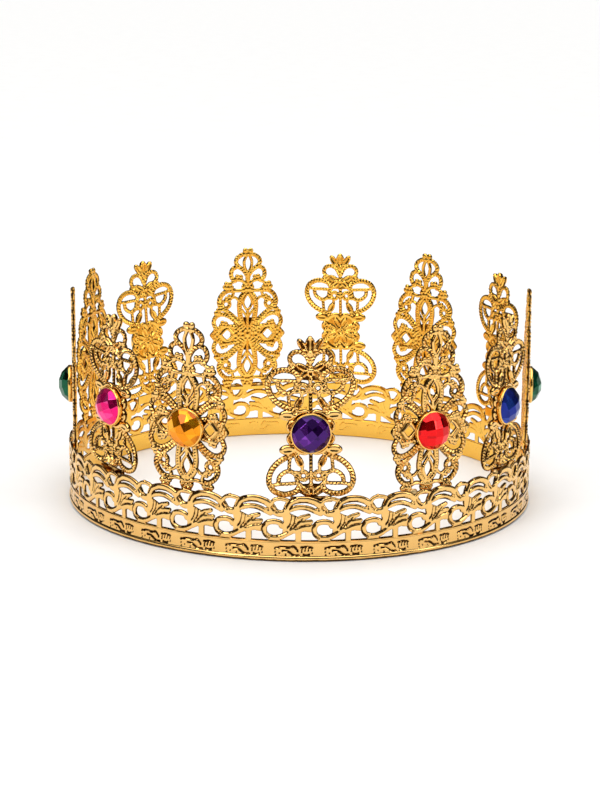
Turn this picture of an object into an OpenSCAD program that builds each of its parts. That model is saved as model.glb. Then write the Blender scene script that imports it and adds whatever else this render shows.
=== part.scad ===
// A costume crown: a pierced gallery band bent into a ring, with thirteen filigree plaques
// soldered inside its arches. Each plaque carries a faceted stone in a bezel.
// The origin is on the ring's axis at the rim's lower edge, +Z is up and -Y is the front.

/* [Band] */
// Outside diameter of the rim, without its hem
band_od = 160; // [157:1:166]
// Thickness of the rim's wall
strip_t = 1.0; // [0.9:0.1:1.4]
// Thickness of the pierced gallery above the rim, which is one layer of sheet
gallery_t = 0.45; // [0.35:0.05:0.45]
// Height of the plain rim below the gallery
rim_h = 6.4; // [6.2:0.1:6.8]
// Height of the gallery's arch tops above the rim's lower edge
gallery_h = 20.7; // [20.5:0.1:21.5]
// Height of the rolled hem along the rim's lower edge
hem_h = 1.5; // [1.2:0.1:1.8]
// How far the hem stands out from the rim
hem_out = 0.5; // [0.3:0.1:0.8]
// Height of the thin ridge along the rim's upper edge
ridge_h = 0.5; // [0.3:0.1:0.8]
// How far that ridge stands out
ridge_out = 0.2; // [0.1:0.1:0.4]
// Times that the gallery's motif repeats around the ring
repeats = 32; // [31:1:32]
// Angle of the first scroll, counted from the front
first_scroll = 5.4; // [0:0.1:11]
// Angle of the soldered butt joint in the strip
seam_at = 263.5; // [263:0.5:264]
// Width of that joint
seam_w = 0.4; // [0.3:0.1:0.6]

/* [Plaques] */
// Thickness of a plaque
plaque_t = 1.0; // [0.8:0.1:1.2]
// Height of a flower plaque's centre above the rim's lower edge
flower_z = 41.5; // [41:0.5:42]
// Height of an oval plaque's centre above the rim's lower edge
oval_z = 40.3; // [40:0.1:40.8]
// Height at which every plaque is cut off behind the gallery
foot_z = 18.6; // [17.5:0.1:19]
// Gap between a plaque's outer face and the gallery's inner face, at the edge of its foot
foot_gap = 0.05; // [0.03:0.01:0.2]

/* [Stones] */
// Diameter of a stone
stone_d = 12; // [10:0.5:12]
// Height of a stone above its flat back
stone_h = 3.9; // [3.5:0.1:4.4]
// Height of the stone's straight girdle
girdle_h = 1.1; // [0.8:0.1:1.3]
// Pitch of the square facets on the stone's dome
facet = 3.3; // [3:0.1:3.5]
// Wall of the bezel around a stone
bezel_wall = 0.4; // [0.3:0.1:0.6]
// Height of the bezel
bezel_h = 1.6; // [1.3:0.1:1.8]
// Floor of the bezel, under the stone
bezel_floor = 0.4; // [0.3:0.1:0.6]

/* [Hidden] */
$fn = 96;
r_out = band_od / 2;
r_in = r_out - strip_t;
gallery_in = r_out - gallery_t;
pitch = 360 / repeats;
foot_half_w = 12;
plaque_r = sqrt(pow(gallery_in, 2) - pow(foot_half_w, 2)) - foot_gap;
foot_w = 13.2;
foot_h = 5.6;
foot_reach = 26;
stone_seat = 0.02;

gold = [0.93, 0.72, 0.34];
deep_gold = [0.85, 0.60, 0.18];
solder = [0.80, 0.66, 0.38];
purple = [0.22, 0.05, 0.45];
red = [0.85, 0.04, 0.06];
blue = [0.05, 0.12, 0.70];
green = [0.02, 0.45, 0.20];
pink = [0.90, 0.25, 0.50];
orange = [0.95, 0.50, 0.08];

// Each plaque as it was soldered: its angle from the front, its lean (a positive lean takes its
// tip towards rising angles), how far it sits above its nominal height, its kind and the colour
// of its stone
PLAQUES = [
    [2.8, -1, -0.4, "flower", purple],
    [30.9, 3.2, -0.8, "oval", red],
    [57.9, 1.9, 0.1, "flower", blue],
    [86, -0.5, 0, "oval", green],
    [114, -0.5, 1.1, "flower", pink],
    [143.5, -1, 0.8, "oval", orange],
    [168.2, 1.3, 0.2, "flower", purple],
    [195.4, -0.3, 0.2, "oval", red],
    [226, 4, 0.8, "flower", blue],
    [252.8, -0.4, 0.6, "oval", green],
    [277, 0.5, -0.3, "oval", green],
    [308.8, 2.3, 0.6, "flower", pink],
    [332.9, 1.2, 0.1, "oval", orange],
];
LAST = len(PLAQUES) - 1;

function two_digits(n) = n < 10 ? str("0", n) : str(n);
function named(kind, i) = str(kind, "_", two_digits(i + 1));

// ---- Outlines ----

// An ellipse of few sides, by its centre, half-sizes and tilt
module oval(at, half, tilt = 0, sides = 12)
    translate(at) rotate(tilt)
        polygon([for (i = [0:sides - 1]) [half[0] * cos(i * 360 / sides), half[1] * sin(i * 360 / sides)]]);

module both_sides() {
    children();
    mirror([1, 0]) children();
}

module four_ways() {
    both_sides() children();
    mirror([0, 1]) both_sides() children();
}

// ---- Band ----

// Places its child on the ring's wall at an angle: X along the wall, Y up and Z outward
module on_wall(angle)
    rotate([0, 0, angle]) rotate([90, 0, 0]) children();

// The wall's section: hem, rim and ridge, with the thinner gallery flush with the rim outside
module wall_section() {
    hem = [for (a = [-75:25:75]) [r_out + hem_out * cos(a), hem_h / 2 * (1 + sin(a))]];
    polygon(concat(
        [[r_in, 0], [r_out, 0]],
        hem,
        [[r_out, hem_h],
         [r_out, rim_h - ridge_h],
         [r_out + ridge_out, rim_h - ridge_h],
         [r_out + ridge_out, rim_h],
         [r_out, rim_h],
         [r_out, gallery_h],
         [gallery_in, gallery_h],
         [gallery_in, rim_h],
         [r_in, rim_h]]
    ));
}

// The openings of one repeat of the gallery, measured from the centre of its scroll
module gallery_openings() {
    oval([0, 9.9], [1.65, 1.6], 0, 8);
    oval([11, 17.9], [2.5, 1.2], -5, 8);
    oval([9.1, 15], [1.8, 0.7], 3, 8);
    oval([-1.3, 13.4], [3.1, 0.7], 22, 8);
    oval([9.9, 12.2], [1.3, 0.5], 20, 6);
    polygon([[2, 17.8], [3.9, 19.2], [4.1, 16.6], [3.5, 16.3]]);
    polygon([[8.6, 7.1], [8.6, 8.6], [9.9, 9.9], [12.8, 7.3]]);
    polygon([[3.2, 7.1], [4.1, 8.1], [6, 8.6], [6, 7.1]]);
}

// The two notches in the gallery's top edge, beside the small arch of one repeat
module gallery_notches() {
    polygon([[-1.9, gallery_h + 1], [-0.8, gallery_h - 1.3], [0.2, gallery_h + 1]]);
    polygon([[3.3, gallery_h + 1], [4.3, gallery_h - 1.1], [5.5, gallery_h + 1]]);
}

module band() {
    cut_depth = 4;
    color(gold)
        difference() {
            rotate_extrude($fn = 192) wall_section();
            for (i = [0:repeats - 1])
                on_wall(first_scroll + i * pitch)
                    translate([0, 0, r_in - cut_depth / 2])
                        linear_extrude(cut_depth) {
                            gallery_openings();
                            gallery_notches();
                        }
            on_wall(seam_at)
                translate([-seam_w / 2, -1, r_in - cut_depth / 2])
                    cube([seam_w, gallery_h + 2, cut_depth]);
        }
}

// Fills the strip's butt joint over the height of the plain rim
module seam_solder() {
    color(solder)
        intersection() {
            rotate_extrude() translate([r_in, 0]) square([strip_t, rim_h]);
            on_wall(seam_at)
                translate([-seam_w / 2, 0, r_in - strip_t])
                    cube([seam_w, rim_h, 3 * strip_t]);
        }
}

// ---- Plaques ----

function is_flower(i) = PLAQUES[i][3] == "flower";
function centre_z(i) = (is_flower(i) ? flower_z : oval_z) + PLAQUES[i][2];

// Places its child at a plaque's centre, on the plaque's outer face, with Z outward
module at_plaque(i)
    on_wall(PLAQUES[i][0])
        translate([0, foot_z, plaque_r])
            rotate([0, 0, -PLAQUES[i][1]])
                translate([0, centre_z(i) - foot_z, 0])
                    children();

// The broad foot of a plaque, which the solder tacks hold
module foot_outline() {
    translate([-foot_w / 2, -foot_reach]) square([foot_w, foot_h]);
}

module flower_outline() {
    oval([0, 27.2], [2.2, 2.8]);
    both_sides() {
        oval([2.6, 26], [1.5, 2.3], -25);
        oval([3.9, 22.8], [3, 2.6], -20);
    }
    four_ways() {
        oval([6.9, 13.7], [6.5, 6.3], 0, 16);
        oval([7, 5.8], [2.6, 1.4], 0, 8);
        oval([5.2, 2], [2, 2.4], 0, 8);
    }
    square([9.6, 44], center = true);
    foot_outline();
}

module flower_openings() {
    both_sides() oval([3.4, 22.7], [2.2, 1.2], -25, 8);
    four_ways() {
        oval([7.4, 18], [2.6, 0.9], 0, 8);
        oval([6.9, 14], [1.8, 1.2], 0, 8);
        oval([10.9, 12.4], [0.8, 2.8], -22, 8);
        oval([7.9, 9.9], [0.8, 1.1], 0, 8);
        oval([2.4, 13.7], [0.8, 0.8], 0, 8);
        oval([1.4, 8.9], [0.6, 2], 0, 8);
        oval([4.6, 10.8], [0.7, 0.9], 0, 8);
    }
}

module oval_outline() {
    oval([0, 31.6], [2.2, 1.6]);
    both_sides() {
        oval([2.9, 28.5], [2.6, 2.9]);
        oval([3.6, 24], [3.3, 3]);
    }
    four_ways() {
        oval([7.2, 19.2], [2.3, 2]);
        oval([7.4, 13.6], [4.1, 4.1]);
        oval([10.6, 9.8], [1.6, 1.6], 0, 8);
        oval([9.6, 5.8], [3.6, 3.1]);
    }
    polygon([[-14.3, 0], [-7, -8], [-4.6, -22], [4.6, -22], [7, -8],
             [14.3, 0], [7, 8], [4.6, 22], [2, 26], [-2, 26], [-4.6, 22], [-7, 8]]);
    foot_outline();
}

module oval_openings() {
    oval([0, 27], [0.7, 2.2], 0, 8);
    both_sides() {
        oval([2.7, 29.1], [1, 1], 0, 8);
        oval([3, 24.3], [1.5, 1], 0, 8);
        oval([4.1, 19.3], [1.4, 0.7], 0, 8);
    }
    four_ways() {
        oval([4.1, 16], [0.8, 1.4], 15, 8);
        oval([8, 15.5], [1.9, 0.8], -20, 8);
        oval([8.6, 11.4], [0.9, 0.8], 0, 8);
        oval([1.6, 8.2], [0.6, 2], -12, 8);
        oval([5.4, 9.6], [0.8, 2.4], -10, 8);
        oval([10, 6.2], [1.6, 0.9], 0, 8);
        oval([6, 4.8], [1, 0.7], 30, 8);
    }
    mirror([0, 1]) oval([0, 12], [1.3, 2.5], 0, 8);
    oval([0, 12], [1.3, 2.5], 0, 8);
    both_sides() oval([8.1, 0], [1.2, 1.1], 0, 8);
}

// A flat pierced plate, cut off below where the gallery hides it
module plaque(i) {
    tall = 40;
    color(i % 2 == 0 ? gold : deep_gold)
        at_plaque(i)
            translate([0, 0, -plaque_t])
                linear_extrude(plaque_t)
                    difference() {
                        if (is_flower(i)) flower_outline();
                        else oval_outline();
                        if (is_flower(i)) flower_openings();
                        else oval_openings();
                        translate([-tall, foot_z - centre_z(i) - tall])
                            square([2 * tall, tall]);
                    }
}

// The gallery's inner face, in plan, at a distance across a plaque
function wall_y(x) = -sqrt(pow(gallery_in, 2) - pow(x, 2));

// Solder that fills the gap between each plaque's foot and the arches in front of it
module solder_tacks() {
    near = 4.2;
    far = 6.2;
    tack_h = 1.4;
    color(solder)
        for (p = PLAQUES, side = [-1, 1])
            rotate([0, 0, p[0]])
                translate([0, 0, foot_z + 0.6])
                    linear_extrude(tack_h)
                        polygon([[side * near, -plaque_r], [side * far, -plaque_r],
                                 [side * far, wall_y(far)], [side * near, wall_y(near)]]);
}

// ---- Stones ----

module bezel(i) {
    bore_r = stone_d / 2 + stone_seat;
    color(gold)
        at_plaque(i)
            difference() {
                cylinder(r = bore_r + bezel_wall, h = bezel_h);
                translate([0, 0, bezel_floor]) cylinder(r = bore_r, h = bezel_h);
            }
}

// A domed stone whose square facets are planes that touch a sphere over the girdle
module stone(i) {
    stone_r = stone_d / 2;
    crown_h = stone_h - girdle_h;
    dome_r = (pow(stone_r, 2) + pow(crown_h, 2)) / (2 * crown_h);
    turn = 17 * i;
    color(PLAQUES[i][4])
        at_plaque(i)
            translate([0, 0, bezel_floor])
                rotate([0, 0, turn])
                    difference() {
                        cylinder(r = stone_r, h = stone_h + 1);
                        for (u = [-1.5:1.5], v = [-1.5:1.5])
                            if (norm([u, v]) < 2)
                                translate([0, 0, stone_h - dome_r])
                                    rotate([0, 0, atan2(v, u)])
                                        rotate([0, asin(norm([u, v]) * facet / dome_r), 0])
                                            translate([-stone_d, -stone_d, dome_r])
                                                cube(2 * stone_d);
                    }
}

band();
seam_solder();
solder_tacks();
for (i = [0:LAST]) {
    plaque(i);
    bezel(i);
    stone(i);
}
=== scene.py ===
"""A costume crown: a pierced gallery band with thirteen filigree plaques and faceted stones.

The CAD frame gives every place and size. The stamped metal is built here as relief: each sheet is
drawn in flat millimetres as wires, beads, leaves and pads, then meshed as one closed sheet.
"""

import math

import bmesh
import bpy
import numpy as np
from mathutils import Matrix, Quaternion, Vector


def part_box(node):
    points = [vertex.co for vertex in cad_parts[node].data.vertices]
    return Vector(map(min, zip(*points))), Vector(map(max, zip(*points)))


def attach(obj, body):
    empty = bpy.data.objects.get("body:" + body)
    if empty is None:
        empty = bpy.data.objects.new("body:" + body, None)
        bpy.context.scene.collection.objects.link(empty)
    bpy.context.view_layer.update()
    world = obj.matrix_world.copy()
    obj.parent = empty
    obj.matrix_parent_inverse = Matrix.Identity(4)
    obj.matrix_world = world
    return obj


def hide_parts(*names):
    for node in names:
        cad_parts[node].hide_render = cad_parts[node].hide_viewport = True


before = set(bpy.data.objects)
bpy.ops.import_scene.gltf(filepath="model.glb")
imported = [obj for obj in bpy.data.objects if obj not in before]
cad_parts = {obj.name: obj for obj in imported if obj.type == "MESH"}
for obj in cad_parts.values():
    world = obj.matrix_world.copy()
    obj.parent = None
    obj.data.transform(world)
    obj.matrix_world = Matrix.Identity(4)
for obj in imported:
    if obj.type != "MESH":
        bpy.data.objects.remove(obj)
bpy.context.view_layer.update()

MM = 0.001
GOLDEN_TURN = math.radians(137.5)


# ---------------- flat drawing

# how a drawn element is mirrored: left to right, or also top to bottom
TOP = "x"
BOTH = "xy"

ROPE_SLANT = 0.45  # how far a twist leans across its wire, in turns
VEIN_HALF = 0.35  # half the width of a leaf's vein, in mm
VEIN_REACH = 0.8  # how much of the leaf the vein crosses


def curve_point(a, b, c, d, t):
    """The point a share t of the way from b to c, on the Catmull-Rom curve through a, b, c and d."""
    slope = c - a
    bend = 2 * a - 5 * b + 4 * c - d
    twist = 3 * b - a - 3 * c + d
    return 0.5 * (2 * b + slope * t + bend * t**2 + twist * t**3)


def smooth_path(points, closed=False, per_span=7):
    """Points along a smooth curve through the given ones."""
    p = np.array(points, float)
    if len(p) < 3 and not closed:
        return np.array([p[0] + (p[-1] - p[0]) * t for t in np.linspace(0, 1, per_span)])
    if closed:
        guides = np.vstack([p[-1], p, p[0], p[1]])
    else:
        guides = np.vstack([2 * p[0] - p[1], p, 2 * p[-1] - p[-2]])
    steps = np.arange(per_span) / per_span
    path = [curve_point(*guides[i : i + 4], t) for i in range(len(guides) - 3) for t in steps]
    path.append(p[0] if closed else p[-1])
    return np.array(path)


def circle(at, radius, count):
    """Points evenly round a circle."""
    angles = np.arange(count) * math.pi / (count / 2)
    return [(at[0] + radius * math.cos(a), at[1] + radius * math.sin(a)) for a in angles]


def path_distance(x, y, path):
    """For each grid point: its distance to the path, how far along the path, and which side."""
    best = np.full(x.shape, 1e6)
    along = np.zeros(x.shape)
    across = np.zeros(x.shape)
    run = 0.0
    for (ax, ay), (bx, by) in zip(path[:-1], path[1:]):
        dx, dy = bx - ax, by - ay
        length = math.hypot(dx, dy)
        if length < 1e-9:
            continue
        t = np.clip(((x - ax) * dx + (y - ay) * dy) / length**2, 0, 1)
        d = np.hypot(x - ax - t * dx, y - ay - t * dy)
        closer = d < best
        best = np.where(closer, d, best)
        along = np.where(closer, run + t * length, along)
        across = np.where(closer, (dx * (y - ay) - dy * (x - ax)) / length, across)
        run += length
    return best, along, across


def dome(share, power=0.62):
    """A rounded profile: 1 at the middle (share 0) and 0 at the edge (share 1)."""
    return np.clip(1 - share**2, 0, 1) ** power


def even_steps(low, high, step):
    """Numbers from low to high, as near to step apart as fits."""
    return np.linspace(low, high, int(round((high - low) / step)) + 1)


class Relief:
    """A sheet of metal on a flat grid, in millimetres. depth is the distance inside its edge.

    xs and ys are the grid's lines, and period the length after which the drawing repeats, if it does.
    weight thickens every wire, and crown is how round its top is: a lower power is flatter.
    """

    def __init__(self, xs, ys, period=None, weight=1.0, crown=0.62):
        self.x, self.y = np.meshgrid(xs, ys, indexing="ij")
        self.period = period
        self.weight = weight
        self.crown = crown
        self.depth = np.full(self.x.shape, -1e3)
        self.height = np.zeros(self.x.shape)

    def _add(self, depth, height):
        """Joins an element to the sheet. Where two overlap, the higher one shows."""
        self.depth = np.maximum(self.depth, depth)
        self.height = np.maximum(self.height, np.where(depth > 0, height, 0))

    def _views(self, fold):
        """The grid's coordinates as an element sees them. Folding mirrors the element."""
        x = np.abs(self.x) if "x" in fold else self.x
        y = np.abs(self.y) if "y" in fold else self.y
        if self.period:
            return [(x - k * self.period, y) for k in (-1, 0, 1)]
        return [(x, y)]

    def wire(self, points, half, height, fold="", closed=False, rope=0.0, pitch=1.15, tip=1.0):
        """A round wire through points. rope is the depth of its twist, tip its width at the end."""
        path = smooth_path(points, closed)
        half = half * self.weight
        total = np.hypot(*np.diff(path, axis=0).T).sum()
        for x, y in self._views(fold):
            d, along, across = path_distance(x, y, path)
            width = half * (1 + (tip - 1) * along / total)
            turn = along / pitch + ROPE_SLANT * across / half
            twist = 1 - rope * (0.5 - 0.5 * np.cos(2 * math.pi * turn))
            top = height * (0.25 + 0.75 * width / half)
            self._add(width - d, top * dome(d / width, self.crown) * twist)

    def bead(self, at, radius, height, fold=""):
        """A round bead."""
        for x, y in self._views(fold):
            d = np.hypot(x - at[0], y - at[1])
            self._add(radius - d, height * dome(d / radius))

    def beads(self, places, radius, height, fold=""):
        """Equal beads at several places."""
        for at in places:
            self.bead(at, radius, height, fold)

    def leaf(self, at, half, tilt, height, fold="", rim=0.42, floor=0.35, vein=0.0):
        """An oval leaf or petal with a raised rim round a sunken floor, and a vein along it."""
        c, s = math.cos(math.radians(tilt)), math.sin(math.radians(tilt))
        for x, y in self._views(fold):
            u = (x - at[0]) * c + (y - at[1]) * s
            v = (y - at[1]) * c - (x - at[0]) * s
            q = np.hypot(u / half[0], v / half[1])
            slope = np.hypot(u / half[0] ** 2, v / half[1] ** 2) / np.maximum(q, 1e-6)
            depth = (1 - q) / np.maximum(slope, 1e-6)
            on_rim = dome((depth - rim) / rim)
            on_floor = np.where(depth > rim, floor, 0)
            on_vein = vein * dome(np.abs(v) / VEIN_HALF) * (q < VEIN_REACH)
            self._add(depth, height * np.maximum(np.maximum(on_rim, on_floor), on_vein))

    def pad(self, corners, height, fold=""):
        """A flat web between wires."""
        corners = np.array(corners, float)
        loop = np.vstack([corners, corners[:1]])
        for x, y in self._views(fold):
            d = path_distance(x, y, loop)[0]
            inside = np.zeros(x.shape, bool)
            for (ax, ay), (bx, by) in zip(loop[:-1], loop[1:]):
                if ay != by:
                    crosses = (y < ay) != (y < by)
                    inside ^= crosses & (x < ax + (y - ay) * (bx - ax) / (by - ay))
            self._add(np.where(inside, d, -d), height)

    def groove(self, points, half):
        """Presses a line down into the sheet."""
        path = smooth_path(points)
        for x, y in self._views(""):
            d = path_distance(x, y, path)[0]
            self.height *= 1 - dome(np.minimum(d / half, 1))


# ---------------- meshing


def outline_polygons(grid_x, grid_y, depth, cells):
    """Polygons that fill the given cells up to the sheet's outline, and the points on the outline."""
    column = depth.shape[1]
    flat, gx, gy = depth.ravel(), grid_x.ravel(), grid_y.ravel()
    outline, made, polygons = [], {}, []

    def crossing(a, b):
        """The number of the point where the outline crosses the grid's line from a to b."""
        a, b = min(a, b), max(a, b)
        if (a, b) not in made:
            t = flat[a] / (flat[a] - flat[b])
            made[a, b] = len(flat) + len(outline)
            outline.append((gx[a] + t * (gx[b] - gx[a]), gy[a] + t * (gy[b] - gy[a]), 0.0))
        return made[a, b]

    for i, j in cells:
        a = i * column + j
        b, c, d = a + column, a + column + 1, a + 1
        halves = ((a, b, c), (a, c, d)) if (i + j) % 2 else ((a, b, d), (b, c, d))
        for half in halves:
            polygon = []
            for p, q in zip(half, half[1:] + half[:1]):
                if flat[p] > 0:
                    polygon.append(p)
                if (flat[p] > 0) != (flat[q] > 0):
                    polygon.append(crossing(p, q))
            if polygon:
                polygons.append(polygon)
    return outline, polygons


def keep_used(points, quads, tris):
    """Drops the points that no face uses, and renumbers the faces."""
    used = np.unique(np.concatenate([quads.ravel(), tris.ravel()])).astype(int)
    renumber = np.zeros(len(points), int)
    renumber[used] = np.arange(len(used))
    return points[used], renumber[quads.astype(int)], renumber[tris.astype(int)]


def outline_cells(sheet, step, foot=None):
    """Vertices (x, y, height), quads and triangles of the sheet's solid area, on one side.

    foot is how far below the middle the sheet is cut off straight, if it is.
    """
    margin = 0.12 * step  # the outline keeps this far from the grid's points
    depth = sheet.depth if foot is None else np.minimum(sheet.depth, sheet.y + foot)
    depth = np.where(depth > 0, np.maximum(depth, margin), np.minimum(depth, -margin))
    column = depth.shape[1]
    solid = (depth > 0).astype(int)
    corners_in = solid[:-1, :-1] + solid[1:, :-1] + solid[1:, 1:] + solid[:-1, 1:]
    i, j = np.nonzero(corners_in == 4)
    first = i * column + j
    quads = np.stack([first, first + column, first + column + 1, first + 1], axis=1)
    crossed = zip(*np.nonzero((corners_in > 0) & (corners_in < 4)))
    outline, polygons = outline_polygons(sheet.x, sheet.y, depth, crossed)
    grid = np.stack([sheet.x.ravel(), sheet.y.ravel(), sheet.height.ravel()], axis=1)
    points = np.vstack([grid, np.array(outline)])
    quads = np.vstack([quads, [p for p in polygons if len(p) == 4]])
    tris = np.array([p for p in polygons if len(p) == 3])
    return keep_used(points, quads, tris)


def repeat_cells(points, quads, tris, period, times):
    """Joins copies of one period end to end into one length."""
    count = len(points)
    left = np.nonzero(points[:, 0] < 1e-6)[0]
    right = np.nonzero(points[:, 0] > period - 1e-6)[0]
    left = left[np.argsort(points[left, 1])]
    right = right[np.argsort(points[right, 1])]
    all_points, all_quads, all_tris = [], [], []
    target = np.arange(count * times).reshape(times, count)
    for k in range(times):
        all_points.append(points + [k * period, 0, 0])
        numbers = target[k].copy()
        if k + 1 < times:
            numbers[right] = target[k + 1][left]
        all_quads.append(numbers[quads])
        all_tris.append(numbers[tris])
    return keep_used(np.vstack(all_points), np.vstack(all_quads), np.vstack(all_tris))


def side_walls(quads, tris, count):
    """Quads that join the front sheet's rim to the back sheet's, whose points come count later."""
    edges = [quads[:, [k, (k + 1) % 4]] for k in range(4)]
    edges += [tris[:, [k, (k + 1) % 3]] for k in range(3)]
    directed = np.concatenate(edges).astype(np.int64)
    keys = directed[:, 0] * count + directed[:, 1]
    twins = directed[:, 1] * count + directed[:, 0]
    rim = directed[~np.isin(keys, twins)]
    return np.stack([rim[:, 0], rim[:, 0] + count, rim[:, 1] + count, rim[:, 1]], axis=1)


def sheet_object(name, cells, place, edge, front, back, material, sharp=42):
    """A closed sheet: a front and a back surface from the relief, joined by a thin side wall.

    edge is half the thickness at the rim, front and back how much of the relief each side takes.
    """
    points, quads, tris = cells
    count = len(points)
    x, y, height = points.T
    top = place(x, y, edge + front * height)
    bottom = place(x, y, -edge - back * height)
    walls = side_walls(quads, tris, count)
    faces = np.vstack([quads, quads[:, ::-1] + count, walls]).tolist()
    faces += np.vstack([tris, tris[:, ::-1] + count]).tolist()
    mesh = bpy.data.meshes.new(name)
    mesh.from_pydata(np.vstack([top, bottom]) * MM, [], faces)
    mesh.validate()
    # painted shade and highlight: each point's height is kept for the material, which paints the low
    # parts dark and the crests bright
    point_values(mesh, "relief_shade", np.tile(np.clip(height, 0, 1), 2))
    point_values(mesh, "inner", np.repeat([0.0, 1.0], count))
    finish_mesh(mesh, material, sharp)
    return new_object(name, mesh)


def point_values(mesh, name, values):
    """Stores one number per vertex, for the materials to read."""
    attribute = mesh.attributes.new(name, "FLOAT", "POINT")
    attribute.data.foreach_set("value", np.asarray(values, np.float32))


def finish_mesh(mesh, material, sharp=None):
    """Smooth shading, with edges sharper than the given degrees left hard, and the material."""
    mesh.shade_smooth()
    if sharp:
        mesh.set_sharp_from_angle(angle=math.radians(sharp))
    mesh.materials.append(material)


def new_object(name, mesh):
    obj = bpy.data.objects.new(name, mesh)
    bpy.context.scene.collection.objects.link(obj)
    return obj


def ring_mesh(name, loops, material, sharp):
    """A mesh from closed sections: loops[i] is the section's points at one place round the ring."""
    around, section = len(loops), len(loops[0])
    here = np.arange(around * section).reshape(around, section)
    there = np.roll(here, -1, axis=0)
    corners = [here, there, np.roll(there, -1, axis=1), np.roll(here, -1, axis=1)]
    faces = np.stack(corners, axis=-1).reshape(-1, 4)
    mesh = bpy.data.meshes.new(name)
    mesh.from_pydata(np.array(loops).reshape(-1, 3) * MM, [], faces.tolist())
    mesh.validate()
    finish_mesh(mesh, material, sharp)
    return mesh


def turned_mesh(name, section, sides):
    """A closed solid of revolution. Its section of (radius, height) starts and ends on the axis."""
    between = section[1:-1]
    size = len(between)
    verts = [(0, 0, section[0][1]), (0, 0, section[-1][1])]
    for k in range(sides):
        a = 2 * math.pi * k / sides
        verts += [(r * math.cos(a), r * math.sin(a), z) for r, z in between]
    faces = []
    for k in range(sides):
        here, there = 2 + k * size, 2 + (k + 1) % sides * size
        faces.append((0, there, here))
        faces += [(here + j, there + j, there + j + 1, here + j + 1) for j in range(size - 1)]
        faces.append((1, here + size - 1, there + size - 1))
    mesh = bpy.data.meshes.new(name)
    mesh.from_pydata([tuple(c * MM for c in v) for v in verts], [], faces)
    mesh.validate()
    return mesh


# ---------------- materials


def new_material(name):
    """A material, its Principled shader and a way to add and to link nodes."""
    material = bpy.data.materials.new(name)
    material.use_nodes = True
    tree = material.node_tree
    shader = tree.nodes["Principled BSDF"]

    def node(kind, **settings):
        n = tree.nodes.new(kind)
        for key, value in settings.items():
            if key in n.inputs:
                n.inputs[key].default_value = value
            else:
                setattr(n, key, value)
        return n

    return material, shader, node, tree.links.new


def ramp(node, stops):
    """A colour ramp from (place, colour) stops."""
    r = node("ShaderNodeValToRGB")
    elements = r.color_ramp.elements
    while len(elements) < len(stops):
        elements.new(0.5)
    for element, (place, colour) in zip(elements, stops):
        element.position = place
        element.color = (*colour, 1)
    return r


def scaled(node, link, value, factor, added=None):
    """A node's output times a constant factor, plus another output if one is given."""
    n = node("ShaderNodeMath", operation="MULTIPLY" if added is None else "MULTIPLY_ADD")
    n.inputs[1].default_value = factor
    link(value, n.inputs[0])
    if added is not None:
        link(added, n.inputs[2])
    return n.outputs[0]


def gold_material(name, recess_shade, body, crest_highlight, rough, scratch=0.06):
    """Polished gold plate: painted shade in its recesses and down its flanks, a painted highlight on its
    crests.

    On the inner side of a sheet the painted shade in its recesses is lighter, and a deeper yellow is
    painted bounce light from the gold around it.
    """
    # the inner side gets lighter painted shade, and a deeper yellow that is painted bounce light
    blotchiness, inner_lift, inner_bounce_tint = 0.8, 0.32, (1.07, 1.05, 0.58, 1)
    material, shader, node, link = new_material(name)
    where = node("ShaderNodeTexCoord")
    relief_shade = node("ShaderNodeAttribute", attribute_name="relief_shade")
    inner = node("ShaderNodeAttribute", attribute_name="inner")
    blotch = node("ShaderNodeTexNoise", Scale=300.0, Detail=2.0)
    grain = node("ShaderNodeTexNoise", Scale=2600.0, Detail=4.0)
    link(where.outputs["Object"], blotch.inputs["Vector"])
    link(where.outputs["Object"], grain.inputs["Vector"])

    level = scaled(node, link, blotch.outputs["Fac"], blotchiness, relief_shade.outputs["Fac"])
    lifted = scaled(node, link, inner.outputs["Fac"], inner_lift, level)
    # painted shade in the recesses and down the flanks, painted highlight on the crests
    tint = ramp(node, [(0.54, recess_shade), (0.88, body), (1.0, crest_highlight)])
    link(lifted, tint.inputs["Fac"])
    inner_bounce = node("ShaderNodeMix", data_type="RGBA", blend_type="MULTIPLY")
    link(inner.outputs["Fac"], inner_bounce.inputs[0])
    link(tint.outputs["Color"], inner_bounce.inputs[6])
    inner_bounce.inputs[7].default_value = inner_bounce_tint
    link(inner_bounce.outputs[2], shader.inputs["Base Color"])

    gloss = node("ShaderNodeMapRange")
    gloss.inputs["To Min"].default_value = rough * 0.75
    gloss.inputs["To Max"].default_value = rough * 1.35
    link(blotch.outputs["Fac"], gloss.inputs["Value"])
    link(gloss.outputs["Result"], shader.inputs["Roughness"])
    bump = node("ShaderNodeBump", Strength=scratch, Distance=0.00006)
    link(grain.outputs["Fac"], bump.inputs["Height"])
    link(bump.outputs["Normal"], shader.inputs["Normal"])
    shader.inputs["Metallic"].default_value = 1.0
    return material


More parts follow.
